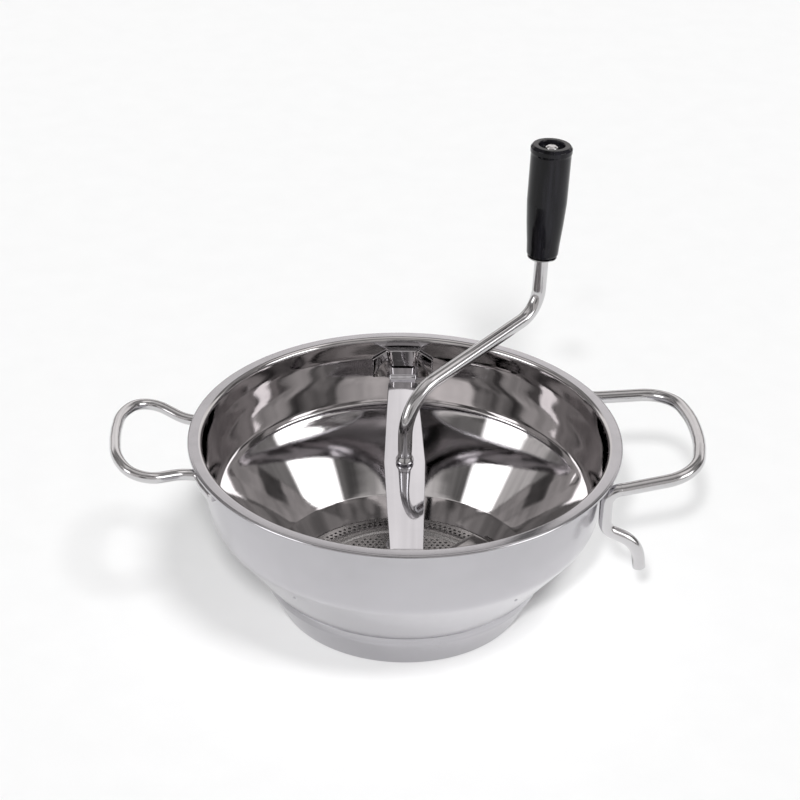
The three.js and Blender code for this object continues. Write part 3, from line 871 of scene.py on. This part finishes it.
def build_spring_washers():
    """One washer under the bar, and one on the hub."""
    bore = (ROD + ROD_CLEARANCE) / MM
    for name, cad_node, body in (
        ("spring_top_washer", "upper_spring_washer", "frame"),
        ("spring_low_washer", "lower_spring_washer", "spring_seat"),
    ):
        low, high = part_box(cad_node)
        section = washer_section(bore, high.x / MM, low.z / MM, (high.z - low.z) / MM)
        add_piece(name, lathe(section, 96), MIRROR, body, cad_node)


def build_hub():
    """The sleeve that carries the blade on the rod, and the cross pin through both."""
    low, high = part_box("blade_hub")
    bore = (ROD + GAP) / MM
    section = washer_section(bore, high.x / MM, low.z / MM, (high.z - low.z) / MM, 0.8)
    hub = add_piece("hub_sleeve", lathe(section, 96), SATIN, "crank", "blade_hub")
    pin_low, pin_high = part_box("blade_cross_pin")
    radius = (pin_high.z - pin_low.z) / 2
    reach = high.x + 0.8 * MM
    at = UP * ((pin_high.z + pin_low.z) / 2)
    past = 1.6 * reach
    cut(hub, tube([at - ARM * past, at + ARM * past], radius + GAP, 32))
    pin = tube([at - ARM * reach, at + ARM * reach], radius, 32, 0.4 * MM)
    add_piece("hub_pin", pin, SATIN, "crank", "blade_cross_pin")


def build_blade():
    """The helical pressing plate. Its trailing edge, under the crank's arm, skims the disc."""
    low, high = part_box("blade")
    thick = 1.2 * MM
    rise = high.z - low.z - thick
    hub_side = 6.9 * MM
    edge = 0.35 * MM  # rounding of the outer rim
    rows, columns = 120, 20
    verts = []
    for i in range(rows + 1):
        turn = i / rows
        outward = polar(CRANK_ANGLE - math.pi * turn)
        top = low.z + rise * turn ** 1.3 + thick
        rim = (63 + 6 * turn) * MM
        reaches = [hub_side + (rim - hub_side) * j / columns for j in range(columns + 1)]
        upper = [outward * reach + UP * top for reach in reaches]
        round_rim = [
            outward * (rim + edge * math.sin(math.pi * t)) + UP * (top - thick * t)
            for t in (0.25, 0.5, 0.75)
        ]
        lower = [p - UP * thick for p in reversed(upper)]
        section = upper + round_rim + lower
        verts += section
    lip_line = [ARM * reach + UP * (low.z + thick + 0.1 * MM) for reach in (hub_side + MM, 62 * MM)]
    lip = tube(lip_line, 0.8 * MM, 16, 0.4 * MM)
    shape = joined(skin(verts, len(section)), lip)
    add_piece("press_blade", shape, BLADE, "crank", "blade")


# ---------- sieve disc ----------

DISC_LOW, DISC_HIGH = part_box("sieve_disc")
DISC_SHEET = 0.9 * MM
DISC_BORE = ROD + ROD_CLEARANCE
HOLE = 0.9 * MM  # radius of a hole
PITCH = 3.3 * MM  # from hole to hole
FIELD_INNER = 9 * MM  # the inner field of holes
FIELD_OUTER = 48 * MM
STEP_INNER = 50.5 * MM  # the pressed step between the field and the outer band
STEP_OUTER = 58 * MM
STEP_SLOPE = 1.2 * MM
STEP_RISE = 0.9 * MM


def disc_lift(radius):
    """Height of the disc's pressed step above its flat."""
    past = min(radius - STEP_INNER, STEP_OUTER - radius)
    return STEP_RISE * smooth(min(1.0, max(0.0, past / STEP_SLOPE)))


def hole_centres():
    """Staggered holes in the inner field, and two rings of holes in the outer band."""
    row_height = PITCH * math.sqrt(3) / 2
    rows = int(FIELD_OUTER / row_height)
    columns = int(FIELD_OUTER / PITCH) + 1
    centres = []
    for row in range(-rows, rows + 1):
        shift = PITCH / 2 if row % 2 else 0
        for column in range(-columns, columns + 1):
            spot = Vector((column * PITCH + shift, row * row_height))
            if FIELD_INNER < spot.length < FIELD_OUTER:
                centres.append(spot)
    for k, radius in enumerate((59.6 * MM, 62.4 * MM)):
        count = round(2 * math.pi * radius / PITCH)
        angles = [2 * math.pi * (i + k / 2) / count for i in range(count)]
        centres += [Vector((radius * math.cos(a), radius * math.sin(a))) for a in angles]
    return centres


def disc_plan(centres):
    """The disc's circles and holes as points, and the edges that join them."""
    points, edges = [], []

    def circle(centre, radius, count):
        start = len(points)
        for k in range(count):
            angle = 2 * math.pi * k / count
            points.append(centre + Vector((radius * math.cos(angle), radius * math.sin(angle))))
            edges.append((start + k, start + (k + 1) % count))

    middle = Vector((0, 0))
    for radius in (DISC_BORE, 7.5 * MM):
        circle(middle, radius, 40)
    slope = [STEP_SLOPE * k / 3 for k in range(4)]
    radii = [49.6 * MM]
    radii += [STEP_INNER + reach for reach in slope]
    radii += [STEP_OUTER - reach for reach in reversed(slope)]
    radii += [64.5 * MM, DISC_HIGH.x - 0.01 * MM]
    for radius in radii:
        circle(middle, radius, 180)
    for centre in centres:
        circle(centre, HOLE, 10)
    return points, edges


def disc_triangles():
    """The disc's plan as points and triangles, without its bore and its holes."""
    centres = hole_centres()
    points, edges = disc_plan(centres)
    flat, _, triangles, *_ = delaunay_2d_cdt(points, edges, [], 0, 1e-8)
    spots = np.array([(c.x, c.y) for c in centres])
    kept = []
    for triangle in triangles:
        middle = sum((flat[i] for i in triangle), Vector((0, 0))) / 3
        nearest = ((spots - (middle.x, middle.y)) ** 2).sum(1).min()
        if DISC_BORE < middle.length < DISC_HIGH.x and nearest >= (0.93 * HOLE) ** 2:
            kept.append(triangle)
    return flat, kept


def build_disc():
    """The sieve: a plate triangulated round every hole, given its step, then thickened."""
    flat, triangles = disc_triangles()
    bm = bmesh.new()
    verts = [bm.verts.new((p.x, p.y, DISC_LOW.z + disc_lift(p.length))) for p in flat]
    for triangle in triangles:
        bm.faces.new([verts[i] for i in triangle])
    bmesh.ops.delete(bm, geom=[v for v in bm.verts if not v.link_faces], context="VERTS")
    bmesh.ops.recalc_face_normals(bm, faces=bm.faces)
    if sum(f.normal.z for f in bm.faces) < 0:
        bmesh.ops.reverse_faces(bm, faces=bm.faces)
    grown = bmesh.ops.extrude_face_region(bm, geom=list(bm.faces))
    for item in grown["geom"]:
        if isinstance(item, bmesh.types.BMVert):
            item.co.z += DISC_SHEET
    bm.verts.index_update()
    shape = [v.co.copy() for v in bm.verts], [tuple(v.index for v in f.verts) for f in bm.faces]
    bm.free()
    sharp = math.radians(50)
    add_piece("sieve_plate", shape, SATIN, "frame", "sieve_disc", sharp)


# ---------- studio ----------

def sky(azimuth, elevation):
    """The direction of a point in the surroundings, from its angles in degrees."""
    e = math.radians(elevation)
    return polar(math.radians(azimuth), math.cos(e), math.sin(e))


def build_floor():
    """A plain pale floor, a little uneven in tone."""
    reach = 6.0
    below = -0.0002  # keeps the floor clear of the foot's underside
    material, tree, shader = new_material("studio_floor")
    place = node(tree, "TexCoord").outputs["Object"]
    tone = ranged(tree, noise(tree, place, 40, 3.0), 0.3, 0.7, 0.985, 1.0)
    tree.links.new(scaled(tree, (0.9, 0.9, 0.9), tone), shader.inputs["Base Color"])
    shader.inputs["Roughness"].default_value = 0.9
    shader.inputs["Specular IOR Level"].default_value = 0.1
    corners = [(-reach, -reach, 0), (reach, -reach, 0), (reach, reach, 0), (-reach, reach, 0)]
    mesh = bpy.data.meshes.new("floor")
    mesh.from_pydata(corners, [], [(0, 1, 2, 3)])
    mesh.materials.append(material)
    floor = bpy.data.objects.new("floor", mesh)
    floor.location.z = below
    bpy.context.scene.collection.objects.link(floor)


def distant_light(name, azimuth, elevation, strength, spread, clear):
    """A lamp far away, its angles and spread in degrees, that the steel doesn't mirror.

    Pieces named as clear throw no shadow from this lamp.
    """
    data = bpy.data.lights.new(name, "SUN")
    data.energy = strength
    data.angle = math.radians(spread)
    light = bpy.data.objects.new(name, data)
    light.rotation_euler = sky(azimuth, elevation).to_track_quat("Z", "Y").to_euler()
    light.visible_glossy = False
    bpy.context.scene.collection.objects.link(light)
    blockers = bpy.data.collections.new(name + "_blockers")
    for piece in clear:
        blockers.objects.link(bpy.data.objects[piece])
    light.light_linking.blocker_collection = blockers
    for item in blockers.collection_objects:
        item.light_linking.link_state = "EXCLUDE"


def build_lights():
    """Three lamps whose shadows overlap on the floor."""
    distant_light("key", -88, 41, 1.7, 9, ("right_loop", "left_loop"))
    distant_light("second", -58, 63, 1.22, 14, ("right_loop",))
    distant_light("side", -102, 39, 1.42, 4, ("left_loop", "crank_wire", "grip_handle"))


def window(tree, direction, azimuth, elevation, width, height, tilt=0, soft=0.04):
    """1 inside a rectangle of the surroundings, 0 outside it. All angles are in degrees.

    Soft is half the width of its blurred edge, seen from one unit away.
    """
    centre = sky(azimuth, elevation)
    level = sky(azimuth + 90, 0)
    upright = centre.cross(level)
    turn = math.radians(tilt)
    right = level * math.cos(turn) + upright * math.sin(turn)
    up = upright * math.cos(turn) - level * math.sin(turn)

    def dot(axis):
        made = node(tree, "VectorMath", {0: direction, 1: axis}, operation="DOT_PRODUCT")
        return made.outputs["Value"]

    ahead = dot(centre)
    inside = maths(tree, "GREATER_THAN", ahead, 0.01)
    for axis, size in ((right, width), (up, height)):
        reach = math.tan(math.radians(size / 2))
        offset = maths(tree, "ABSOLUTE", maths(tree, "DIVIDE", dot(axis), ahead))
        edge = {0: offset, 1: reach - soft, 2: reach + soft, 3: 1.0, 4: 0.0}
        fade = node(tree, "MapRange", edge, interpolation_type="SMOOTHSTEP")
        inside = product(tree, inside, fade.outputs[0])
    return inside


# Parts of the room: a window's azimuth, elevation, width, height and, if they are not the
# usual ones, its tilt and softness, then how much light it adds or the share that it takes.
BRIGHTER = (
    ((270, 24, 110, 44), 0.32),  # the room behind the camera
    ((85, 25, 100, 24), 0.7),  # the room across from the camera
    ((20, 62, 30, 16), 0.9),  # high on the right
    ((150, 62, 40, 14), 0.4),  # high on the left
    ((178, 24, 14, 16), 0.4),  # low on the left
    ((90, 86, 40, 40, 0, 0.2), 0.45),  # overhead
)
DARKER = (
    ((267, 18, 22, 22), 0.8),  # the camera's stand
    ((10, 21, 26, 16, 0, 0.12), 0.45),  # low on the right
    ((270, 49, 150, 8), 0.5),  # over the room behind the camera
)
SOFT_BOXES = (204, 23.5, 24, 25, 20), (338, 24, 28, 26, -25)
SOFT_BOX_STRENGTH = 3.0
ROOM_TINT = (1.03, 1.0, 0.985)


def surroundings(tree):
    """What the steel reflects: a cluttered room, and two soft boxes beside the camera."""
    direction = node(tree, "TexCoord").outputs["Generated"]
    level = ranged(tree, noise(tree, direction, 5.0, 4.0, 0.6), 0.35, 0.65, 0.1, 0.42)
    for place, amount in BRIGHTER:
        level = total(tree, level, product(tree, window(tree, direction, *place), amount))
    for place, depth in DARKER:
        dark = product(tree, window(tree, direction, *place), -depth)
        level = product(tree, level, total(tree, dark, 1.0))
    boxes = 0.0
    for place in SOFT_BOXES:
        box = product(tree, window(tree, direction, *place), SOFT_BOX_STRENGTH)
        boxes = total(tree, boxes, box)
    return vector_total(tree, scaled(tree, ROOM_TINT, level), scaled(tree, (1, 1, 1), boxes))


def build_world():
    """Even white light on the floor, and the studio's own surroundings in the steel."""
    ambient_strength = 0.1
    world = bpy.data.worlds.new("studio")
    bpy.context.scene.world = world
    world.use_nodes = True
    tree = world.node_tree
    tree.nodes.clear()
    mirrored_ray = node(tree, "LightPath").outputs["Is Glossy Ray"]
    ambient = node(tree, "Background", {"Color": (1, 1, 1, 1), "Strength": ambient_strength})
    seen = node(tree, "Background", {"Color": surroundings(tree), "Strength": 1.0})
    mix = node(tree, "MixShader", {0: mirrored_ray, 1: ambient.outputs[0], 2: seen.outputs[0]})
    out = tree.nodes.new("ShaderNodeOutputWorld")
    tree.links.new(mix.outputs[0], out.inputs["Surface"])


def build_camera():
    """The camera looks down on the mill from its front, a little round from the bar's end."""
    azimuth, elevation = -91.37, 30.9
    distance = 1160 * MM  # from the middle of the rim
    aim = Vector((-3.34 * MM, 0, 126.1 * MM))
    roll = math.radians(1.21)
    data = bpy.data.cameras.new("camera")
    data.lens = 94.5
    data.sensor_width = 36
    data.clip_end = 50
    camera = bpy.data.objects.new("camera", data)
    camera.location = UP * RIM_TOP + sky(azimuth, elevation) * distance
    turn = (aim - camera.location).to_track_quat("-Z", "Y").to_matrix().to_4x4()
    camera.rotation_euler = (turn @ Matrix.Rotation(roll, 4, "Z")).to_euler()
    bpy.context.scene.collection.objects.link(camera)
    bpy.context.scene.camera = camera


build_bowl()
build_foot()
build_left_handle()
build_right_handle()
build_brackets()
build_bar()
build_crank()
build_grip()
build_grip_hardware()
build_spring()
build_spring_washers()
build_hub()
build_blade()
build_disc()
build_floor()
build_world()
build_lights()
build_camera()
bpy.context.scene.view_settings.view_transform = "Standard"
